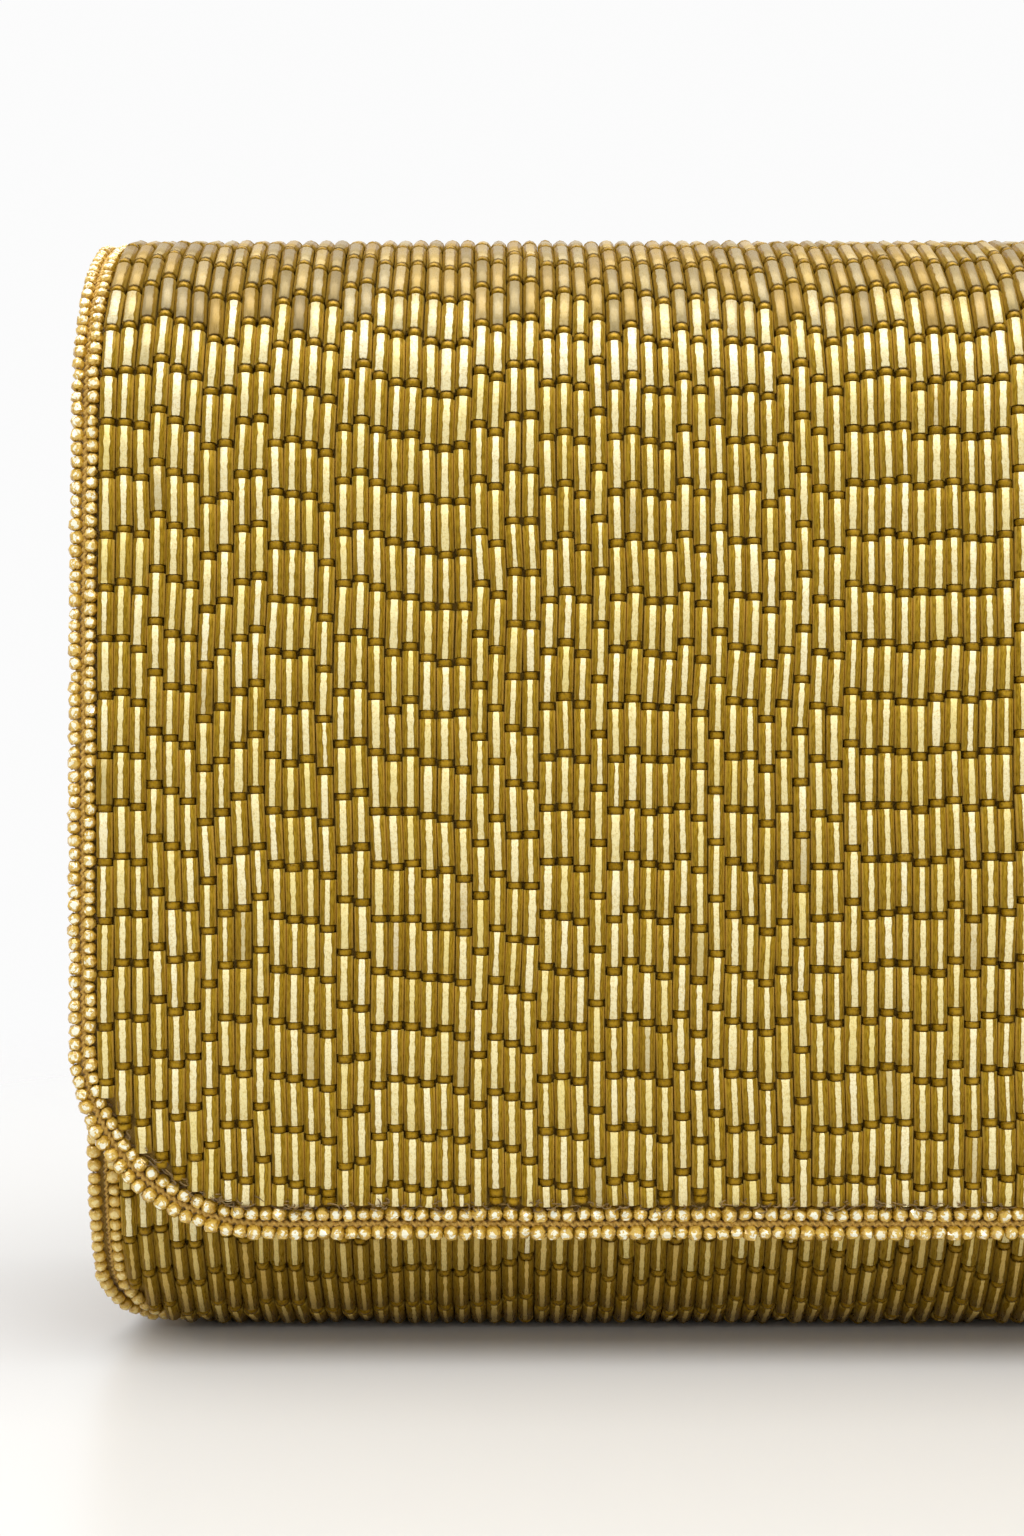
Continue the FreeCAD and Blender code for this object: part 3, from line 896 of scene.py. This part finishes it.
def cord(name, path, normals, radius, lay):
    """A two-strand cord: its section is two lobes that turn once in each lay."""
    even, _, side, out, lengths = walk(path, normals, 0.22)
    angle = np.linspace(0, 2 * math.pi, 8, endpoint=False)
    lobes = radius * (0.8 + 0.28 * np.cos(2 * angle))
    section = np.column_stack([lobes * np.cos(angle), lobes * np.sin(angle)])
    return sweep(name, even, side, out, section, twist=lengths / lay * 2 * math.pi)


def flap_trim():
    for name, inset, lift in (("outer", row_at - 0.25, 0.0), ("inner", trim_w - row_at - 0.4, 0.4)):
        path, normals = flap_edge(inset, cloth_at - 0.9)
        beads = row_of_beads(path, normals, 1.42, 0.74, rough=0.05, wider_low=1.16, lift=lift)
        piece = bead_piece(f"flap_{name}_trim_beads", ROUND, beads, smooth=False)
        finish_piece(piece, CUT_GLASS, "flap", [f"flap_edge_{name}_beads"])
    path, normals = flap_edge(cord_inset - 0.2, cloth_at - 0.6)
    piece = cord("flap_trim_cord", path, normals, 0.5, 1.5)
    finish_piece(piece, GOLD_CORD, "flap", ["flap_edge_cord"])


def body_trim():
    for label, side in (("left", -1), ("right", 1)):
        for name, inset in (("outer", row_at - 0.4), ("inner", trim_w - row_at)):
            path, normals = body_edge(inset, cloth_at - 0.72, side)
            beads = row_of_beads(path, normals, 1.52, 0.86, rough=0.03, flat=0.9, wobble=0.04, fill=0.98)
            piece = bead_piece(f"{label}_{name}_trim_beads", ROUND, beads)
            finish_piece(piece, SOFT_GLASS, "body", [f"{label}_edge_{name}_beads"])
        path, normals = body_edge(cord_inset, cloth_at - 0.3, side)
        piece = cord(f"{label}_trim_cord", path, normals, 0.34, 1.4)
        finish_piece(piece, GOLD_CORD, "body", [f"{label}_edge_cord"])


flap_trim()
body_trim()

# --------------------------------------------------------------------------------------------------
# Loose threads, and stitches


def stitches(name, path, normals, on, material, pitch=2.2, length=1.5, radius=0.14, slant=0.0):
    """Short stitches along a path, lying on a surface with those normals."""
    even, along, side, out, lengths = walk(path, normals, 0.1)
    places = (np.arange(pitch / 2, lengths[-1], pitch) / 0.1).astype(int).clip(0, len(even) - 1)
    n = len(places)
    even, along, side, out = (v[places] for v in (even, along, side, out))
    turn = slant + random.normal(0, 0.06, n)
    beads = {
        "place": even + side * random.normal(0, 0.05, n)[:, None],
        "along": unit(along * np.cos(turn)[:, None] + side * np.sin(turn)[:, None]),
        "out": out,
        "length": length * random.uniform(0.88, 1.1, n),
        "radius": np.full(n, radius),
        "flat": np.full(n, 0.8),
        "look": random.uniform(0, 1, (n, 3)),
    }
    return finish_piece(bead_piece(name, STITCH, beads), material, on)


def loose_threads(name, path, normals, on, count):
    """Curled ends of thread where the columns stop at the flap's free edge, and none along its two sides."""
    even, along, side, out, _ = walk(path, normals, 0.1)
    steps, sides = 9, 5
    ends = np.flatnonzero(np.abs(along[:, 0]) > 0.4)
    pick = ends[random.integers(0, len(ends), count)]
    even, along, side, out = (v[pick][:, None] for v in (even, along, side, out))
    t = np.linspace(0, 1, steps)
    length, bend = random.uniform(0.9, 2.6, count), random.uniform(-4.5, 4.5, count)
    angle = random.uniform(-math.pi, math.pi, count)[:, None] + bend[:, None] * t
    step = length[:, None] / steps
    a = np.cumsum(np.cos(angle) * step, 1) - length[:, None] * 0.2
    b = np.cumsum(np.sin(angle) * step, 1) * 0.5 + random.uniform(-0.45, 0.45, count)[:, None]
    c = random.uniform(-0.5, 0.15, count)[:, None]
    c = c + 0.3 * np.sin(math.pi * t) * random.uniform(0, 1, (count, 1))
    middle = even + a[..., None] * along + b[..., None] * side + c[..., None] * out
    heading = unit(np.gradient(middle, axis=1))
    u = unit(np.cross(heading, out))
    v = np.cross(heading, u)
    angle = np.linspace(0, 2 * math.pi, sides, endpoint=False)[:, None]
    ring = np.cos(angle) * u[:, :, None] + np.sin(angle) * v[:, :, None]
    radius = random.uniform(0.05, 0.09, count)[:, None, None, None] * (1 - 0.4 * t[:, None, None]**4)
    points = middle[:, :, None] + radius * ring
    quads, _ = grid_quads(steps, sides, closed_columns=True)
    quads = (quads + np.arange(count)[:, None, None] * steps * sides).reshape(-1, 4)
    piece = make_mesh(name, points.reshape(-1, 3), quads, np.zeros((len(quads), 4, 2)))
    return finish_piece(piece, DARK_THREAD, on)


path, normals = flap_edge(trim_w + 0.45, cloth_at - 1.75)
loose_threads("flap_thread_ends", path, normals, "flap", 400)
path, normals = flap_edge(trim_w - 0.3, cloth_at - 0.6)
stitches("flap_trim_stitches", path, normals, "flap", DARK_THREAD, 1.42, 1.1, 0.12, slant=0.5)

# --------------------------------------------------------------------------------------------------
# Cloth under the beads, and the linings: sheets of satin or plain cloth, glued and sewn to the boards


def wall_sheet(profile, lengths, width, depths, columns, ripple=None):
    """Grids for a sheet on a wall: rows at those lengths, width to each side, at each of the depths."""
    share = np.linspace(-1, 1, columns)
    x = width[:, None] * share
    s = np.repeat(lengths[:, None], columns, 1)
    lift = 0 if ripple is None else ripple(x, s)
    return [np.concatenate([x[..., None], profile.at(s, depth - lift)], -1) for depth in depths]


def round_hole(grids, centre, radius):
    """Marks the grid points inside a round hole through the front wall, and moves them out to its edge."""
    x, y, z = np.moveaxis(grids[0], -1, 0)
    away = np.hypot(x - centre[0], z - centre[1])
    inside = (away < radius) & (y < 0)
    for grid in grids:
        push = np.where(inside, radius / np.maximum(away, 0.01), 1)
        grid[..., 0] = centre[0] + (grid[..., 0] - centre[0]) * push
        grid[..., 2] = centre[1] + (grid[..., 2] - centre[1]) * push
    return inside


def flap_sheet(name, depths, inset, material, node, ripple=None, hole=None):
    """A sheet over the whole flap, with round lower corners."""
    r = flap_corner_r - inset
    turn = np.linspace(0, math.pi / 2, 36)
    low = flap.length_at_z(flap_bottom_z + flap_corner_r - r * np.sin(turn), flap_front_s, flap.length)
    lengths = np.concatenate([np.linspace(0.05, low[0], 120)[:-1], low])
    grids = wall_sheet(flap, lengths, flap_half_width(flap.at(lengths)[:, 1], inset), depths, 200, ripple)
    gone = round_hole(grids, (0, snap_z), hole) if hole else None
    piece = finish_piece(thick_sheet(name, grids[0], grids[1], gone), material, "flap", [node])


def body_sheet(name, depths, half, inset, material, node, ripple=None, hole=None):
    """A sheet down the body's front, under it and up its back, out to the side edges if half is None."""
    lengths = np.linspace(0.05, body.length - 0.05, 220)
    low = np.linspace(0, foot_corner_r, 14)
    middle = float(body.length_at_z(0.0, 0, body.length / 2))
    if half is None:
        corners = [body.length_at_z(low, 0, middle), body.length_at_z(low, middle + 10, body.length)]
        lengths = np.unique(np.concatenate([lengths] + corners).round(3))
        width = body_half_width(body.at(lengths)[:, 1], inset)
    else:
        lengths = lengths.round(3)
        width = np.full(len(lengths), half)
    grids = wall_sheet(body, lengths, width, depths, 200, ripple)
    gone = round_hole(grids, (0, snap_z), hole) if hole else None
    piece = finish_piece(thick_sheet(name, grids[0], grids[1], gone), material, "body", [node])


def ripples(size, wavelength):
    """Faint unevenness, so that glued cloth doesn't look like a plate."""
    wander = Wander(size, wavelength)
    return lambda x, s: np.clip(wander(x, s), -2 * size, 2 * size)


snap_hole = node_box("snap_stud")[1][0] + 0.2
flap_sheet("flap_base_cloth", (cloth_at, board_at), 0.4, BASE_CLOTH, "flap_cloth")
flap_sheet("flap_satin_lining", (lining_at, wall_t), 0.4, LINING, "flap_lining",
           ripples(0.04, 30), snap_hole)
body_sheet("body_base_cloth", (cloth_at, board_at), None, 0.4, BASE_CLOTH, "body_cloth",
           None, snap_hole)
body_sheet("body_satin_lining", (lining_at, wall_t), gusset_in - 0.02, 0, LINING,
           "body_lining", ripples(0.04, 30))


def rounded_box(count, half_across, half_out, across_power, out_power):
    """A closed section that is nearly a box, with soft corners."""
    angle = np.linspace(0, 2 * math.pi, count, endpoint=False)
    across, out = np.cos(angle), np.sin(angle)
    return np.column_stack([half_across * np.sign(across) * np.abs(across)**across_power,
                            half_out * np.sign(out) * np.abs(out)**out_power])


def flap_binding():
    """Satin turned over the raw edge of the flap's board, with whip stitches that hold the lining to it."""
    path, normals = flap_edge(0.85, (board_at + lining_at) / 2)
    even, _, side, out, lengths = walk(path, normals, 0.8)
    section = rounded_box(16, 0.45, 0.6, 0.5, 0.5)
    swell = 1 + 0.07 * np.sin(lengths * 2.1) + 0.05 * np.sin(lengths * 3.7)
    piece = sweep("flap_satin_binding", even, side, out, section * swell[:, None, None])
    finish_piece(piece, GUSSET, "flap", ["flap_edge_binding"])
    path, normals = flap_edge(0.6, wall_t + 0.02)
    stitches("flap_lining_stitches", path, -normals, "flap", PALE_THREAD, 1.9, 1.1, 0.11, slant=0.9)


def panel_outline(t):
    """The end panel's front and back edges at each height, and those heights."""
    radius = top_radius - wall_t - panel_gap
    top = (back_y - top_radius, height - top_radius)
    front, back = body_front_y + t, back_y - t
    quarter = np.linspace(0, math.pi / 2, 16)
    dome_turn = np.linspace(0.75, math.pi / 2, 16)
    z = np.concatenate([t + 20 * (1 - np.cos(quarter)), np.linspace(26, 104, 50),
                        np.linspace(105, top[1] + 14, 12), top[1] + radius * np.sin(dome_turn)])
    foot_s = np.linspace(0, body.length, 3000)
    outline = body.at(foot_s, t)
    turn = np.argmin(np.abs(foot_s - float(body.length_at_z(0.0, 0, body.length / 2)) - 6))
    z = np.maximum(z, t + 0.001)
    y_front = np.interp(z, outline[:turn, 1][::-1], outline[:turn, 0][::-1])
    y_back = np.interp(z, outline[turn:, 1], outline[turn:, 0])
    dome = np.sqrt(np.maximum(radius * radius - np.maximum(z - top[1], 0)**2, 0))
    y_front = np.where(z > top[1], np.maximum(y_front, top[0] - dome), np.maximum(y_front, front))
    lean = (z - panel_leans_z) / (top[1] - panel_leans_z) * (back - top[0] - radius)
    y_back = np.where(z > panel_leans_z, np.minimum(y_back, back - lean), y_back)
    y_back = np.where(z > top[1], top[0] + dome, y_back)
    return y_front, y_back, z


def end_sheet(name, side, t, x_outer, x_inner, pucker, material, node):
    """A panel's sheet of satin, drawn into small puckers where it is sewn round its edge."""
    y0, y1, z = panel_outline(t)
    share = (1 - np.cos(np.linspace(0, math.pi, 40))) / 2
    y = y0[:, None] + (y1 - y0)[:, None] * share
    z = np.repeat(z[:, None], 40, 1)
    near = np.minimum(np.minimum(y - y0[:, None], y1[:, None] - y), np.minimum(z - t, z.max() - z))
    gather_up = pucker * np.exp(-near / 3.5) * np.sin(2.2 * (z + 0.4 * y) + 1.5 * np.sin(z * 0.31))
    sag = -0.25 * pucker * np.clip(near / 8, 0, 1)
    lift = (gather_up + sag) * np.clip(near / 0.6, 0, 1)
    grids = [np.stack([side * (x + lift), y, z], -1) for x in (x_outer, x_inner)]
    piece = finish_piece(thick_sheet(name, grids[0], grids[1]), material, "body", [node])


def turned_satin(side, s, at, edge, face):
    """Outer and inner grids for satin that lies on a wall, and turns over the edges of its boards.

    at(s, depth) gives the wall's (y, z) points, edge(z) how far out the boards reach, and face the depth.
    """
    wave = 0.1 * np.sin(s * 1.9) + 0.07 * np.sin(s * 3.1 + 1) + 0.05 * np.sin(s * 0.7)
    start = gusset_x - 0.1

    def line(share, depth, inset):
        points = at(s, depth)
        x = start + (edge(points[:, 1]) - inset - start) * share
        return np.column_stack([np.broadcast_to(side * x, len(points)), points])

    outer = [line(k, face + wave * math.sin(math.pi * k), 0.25) for k in np.linspace(0, 1, 8)]
    inner = [line(k, face - 0.55, 0.8) for k in np.linspace(0, 1, 8)]
    for depth in (face - 0.15, 3.6, 2.9, 2.35):
        outer.append(line(1, depth, 0.0))
        inner.append(line(1, min(depth, face - 0.6), 0.7))
    return [np.stack(outer, 1), np.stack(inner, 1)]


def rim_sheet(name, side, node):
    """Satin turned out from the end panel along the body's walls and over the boards' edges."""
    back = float(body.length_at_z(hinge_z - 4.4, body.length / 2 + 40, body.length))
    s = np.linspace(0.3, back, 470)
    grids = turned_satin(side, s, body.at, lambda z: body_half_width(z, gusset_rim_inset), lining_at + 0.6)
    piece = finish_piece(thick_sheet(name, *grids), GUSSET, "body", [node])


def hinge_satin(name, side):
    """A strip that carries the rim's satin across the hinge, onto the flap."""
    z = np.linspace(hinge_z - 5.6, hinge_z + 6.4, 60)

    def at(heights, depth):
        slack = 0.5 * np.exp(-((heights - hinge_z) / 2.2)**2)
        return np.stack([back_y - depth - slack, heights], -1)

    edge = half_body - gusset_rim_inset + 0.15
    grids = turned_satin(side, z, at, lambda heights: edge, wall_t + 0.65)
    piece = thick_sheet(name, *grids)
    piece.data.materials.append(GUSSET)
    across_hinge(piece)


def across_hinge(piece):
    """Bakes a piece's placement into its mesh."""
    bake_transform(piece)


def panel_binding(name, side):
    """Satin bound over the free top edge of an end panel."""
    y0, y1, z = panel_outline(lining_at)
    free = z > panel_free_z
    path = np.concatenate([np.column_stack([y0, z])[free], np.column_stack([y1, z])[free][::-1]])
    path = np.column_stack([np.full(len(path), side * (gusset_in + gusset_x) / 2), path])
    even, _, lengths = respace(path, np.ones((len(path), 3)), 0.5)
    across = np.tile([1.0, 0, 0], (len(even), 1))
    out = unit(np.cross(across, np.gradient(even, axis=0)))
    out = out * np.sign((out * (even - even.mean(0))).sum(-1).mean())
    section = rounded_box(18, (gusset_x - gusset_in) / 2 + 0.16, 0.62, 0.45, 0.6) - [0, 0.36]
    swell = 1 + 0.03 * np.sin(lengths * 1.7) + 0.02 * np.sin(lengths * 4.3)
    piece = sweep(name, even, across, out, section * swell[:, None, None])
    finish_piece(piece, GUSSET, "body", ())


def seam_round_panel(name, side):
    y0, y1, z = panel_outline(lining_at + 0.9)
    keep = z > lining_at + 1.5
    x = np.full(keep.sum(), side * (gusset_x + 0.05))
    front = np.column_stack([x, y0[keep] + 0.3, z[keep]])
    back = np.column_stack([x, y1[keep] - 0.3, z[keep]])
    path = np.concatenate([front[::-1], back])
    stitches(name, path, np.tile([side, 0.0, 0.0], (len(path), 1)), "body", DARK_THREAD, 2.6, 1.6, 0.13)


def mouth_strip():
    """Satin bound over the raw top of the front wall, thinner where the end panels meet it."""
    x = np.linspace(-half_body + 0.4, half_body - 0.4, 700)
    wave = 0.05 * np.sin(x * 1.7) + 0.04 * np.sin(x * 2.9)
    back = np.where(np.abs(x) < gusset_in - 0.3, wall_t, lining_at - 0.05)
    angle = np.linspace(0, math.pi, 14)
    y = np.concatenate([-np.cos(angle), [0.98, 0.3, -0.3, -0.98]])
    z = np.concatenate([np.sin(angle)**0.6, [-0.02, 0.0, 0.0, -0.02]])
    middle = body_front_y + back / 2
    section = np.stack([y * (back / 2)[:, None], z * (1.2 + wave)[:, None]], -1)
    path = np.column_stack([x, middle, np.full(len(x), mouth_z + 0.01)])
    backward, upward = (np.tile(v, (len(x), 1)) for v in ([0.0, 1, 0], [0.0, 0, 1]))
    piece = sweep("mouth_satin_binding", path, backward, upward, section)
    finish_piece(piece, GUSSET, "body", ["mouth_binding"])
    x = x[np.abs(x) < gusset_in - 1]
    line = np.column_stack([x, np.full(len(x), body_front_y + wall_t + 0.02), np.full(len(x), mouth_z - 0.6)])
    stitches("mouth_stitches", line, backward[:len(x)], "body", PALE_THREAD, 2.4, 1.6, 0.13)


def front_stitches(name, line, pitch, length):
    """Pale stitches on cloth that faces the front."""
    stitches(name, line, np.tile([0.0, -1, 0], (len(line), 1)), "body", PALE_THREAD, pitch, length, 0.12)


def pocket():
    """A slip pocket on the back lining, sewn down at its sides and foot, that stands open a little."""
    low, high = node_box("slip_pocket")
    hem_low, _ = node_box("slip_pocket_hem")
    x, z = np.meshgrid(np.linspace(low[0], high[0], 120), np.linspace(low[2], high[2], 60))
    edge = np.minimum(np.minimum(x - low[0], high[0] - x), z - low[2])
    down = np.exp(-edge / 1.6)
    gape = 0.9 * np.cos(x / high[0] * math.pi / 2)**2 * np.clip((z - 60) / 28, 0, 1)**2
    wander = Wander(0.12, 26)
    y = low[1] + 0.9 * down - gape + wander(x, z) * np.clip(edge / 6, 0, 1) - 0.12 * np.sin(z * 2.4) * down
    grids = [np.stack([x, y + t, z], -1) for t in (0, 0.48)]
    piece = thick_sheet("slip_pocket_satin", *grids)
    finish_piece(piece, LINING, "body", ["slip_pocket"])
    top = z[:, 0] >= hem_low[2] - 0.6
    piece = thick_sheet("slip_pocket_turned_hem", *[np.stack([x, y + t, z], -1)[top] for t in (-0.3, -0.02)])
    finish_piece(piece, LINING, "body", ["slip_pocket_hem"])
    row = np.argmin(np.abs(z[:, 0] - hem_low[2] - 0.8))
    face = np.stack([x, y - 0.03, z], -1)
    lines = {"hem": face[row] - [0, 0.3, 0], "left": face[:, 2], "right": face[:, -3], "foot": face[2]}
    for label, line in lines.items():
        front_stitches(f"pocket_{label}_stitches", line, 2.2, 1.5)


def hinge_tape():
    """A satin tape over the join inside the back, with slack for the flap to open."""
    low, _ = node_box("hinge_tape")
    half = gusset_in - 0.4
    x, z = np.meshgrid(np.linspace(-half, half, 160), np.linspace(low[2], hinge_z + 6.5, 70))
    slack = np.exp(-((z - hinge_z) / 2.2)**2) * 0.7
    wander = Wander(0.06, 18)
    y = low[1] - slack + wander(x, z)
    grids = [np.stack([x, y + t, z], -1) for t in (0, 0.38)]
    piece = thick_sheet("hinge_satin_tape", *grids)
    piece.data.materials.append(LINING)
    across_hinge(piece)
    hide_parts("hinge_tape")
    front_stitches("tape_stitches", np.column_stack([x[2], y[2] - 0.03, z[2]]), 2.4, 1.6)


flap_binding()
for label, side in (("left", -1), ("right", 1)):
    end_sheet(f"{label}_end_satin", side, lining_at, gusset_x, gusset_x - 0.58, 0.3, GUSSET,
              f"{label}_gusset")
    end_sheet(f"{label}_end_lining", side, lining_at, gusset_lined, gusset_in, 0.0, LINING,
              f"{label}_gusset_lining")
    rim_sheet(f"{label}_rim_satin", side, f"{label}_gusset")
    hinge_satin(f"{label}_hinge_satin", side)
    panel_binding(f"{label}_end_binding", side)
    seam_round_panel(f"{label}_end_stitches", side)
mouth_strip()
pocket()
hinge_tape()

# --------------------------------------------------------------------------------------------------
# Stage, light and camera


def light(name, place, target, size, watts, colour=(1, 1, 1)):
    data = bpy.data.lights.new(name, "AREA")
    data.shape = "RECTANGLE"
    data.size, data.size_y = size
    data.energy = watts
    data.color = colour
    lamp = bpy.data.objects.new(name, data)
    lamp.location = place
    lamp.rotation_euler = (Vector(target) - Vector(place)).to_track_quat("-Z", "Y").to_euler()
    bpy.context.scene.collection.objects.link(lamp)


def stage():
    """A pale floor under a white surround."""
    angle = np.linspace(0, 2 * math.pi, 64, endpoint=False)
    rings = np.array([1.0, 150.0, 420.0])
    points = np.stack([rings[:, None] * np.cos(angle), rings[:, None] * np.sin(angle), np.zeros((3, 64))], -1)
    quads, uvs = grid_quads(3, 64, closed_columns=True)
    floor = make_mesh("floor", points.reshape(-1, 3), quads, uvs)
    floor.data.materials.append(floor_stuff())
    surround()


def surround():
    """White to the camera. As a light it is brighter behind and below than in front, and even sideways."""
    world = bpy.data.worlds.new("surround")
    sky = Nodes(world)
    _, y, z = sky.split(sky.node("ShaderNodeTexCoord", {}))
    from_behind = sky.span(y, -0.5, 0.3, 0.57, 0.97, smooth=False)
    from_below = sky.span(z, -0.05, 0.1, 0.97, 0.0, smooth=False)
    brightest = sky.maths("MAXIMUM", from_behind, from_below)
    to_camera = sky.node("ShaderNodeLightPath", {})
    background = world.node_tree.nodes["Background"]
    background.inputs["Color"].default_value = (1, 1, 1, 1)
    strength = sky.node("ShaderNodeMix", {0: to_camera, 2: brightest, 3: 0.97})
    sky.put(background.inputs["Strength"], strength)
    bpy.context.scene.world = world


def lamps():
    light("overhead", (0, -0.25, 0.9), (0, -0.1, 0), (1.1, 0.8), 10.1)
    light("glint_left", (-0.55, -0.55, 0.45), (-0.08, 0, 0.07), (0.06, 0.06), 0.3)
    light("glint_right", (0.35, -0.7, 0.55), (0.0, 0, 0.07), (0.06, 0.06), 0.3)


def camera():
    """Level with the middle of the bag, near its left half, 226 mm from the flap."""
    data = bpy.data.cameras.new("camera")
    data.lens, data.sensor_width, data.clip_start = 46.875, 36.0, 0.02
    seen = bpy.data.objects.new("camera", data)
    seen.location = (-0.0648, front_y * MM - 0.226, 0.0682)
    seen.rotation_euler = (math.pi / 2, 0, 0)
    bpy.context.scene.collection.objects.link(seen)
    bpy.context.scene.camera = seen


stage()
lamps()
camera()
bpy.context.scene.view_settings.view_transform = "Standard"

for name, node in frame["nodes"].items():
    material = BOARD if name.endswith("board") else None
    if name in ("snap_socket_cap", "snap_stud"):
        material = GOLD_METAL
    elif name.endswith("backplate"):
        material = STEEL
    elif name.endswith("magnet"):
        material = FERRITE
    elif "lining" in name or "pocket" in name or "tape" in name:
        material = LINING
    elif "gusset" in name or "binding" in name:
        material = material or GUSSET
    elif "cloth" in name:
        material = BASE_CLOTH
    if material:
        node.data.materials.clear()
        node.data.materials.append(material)
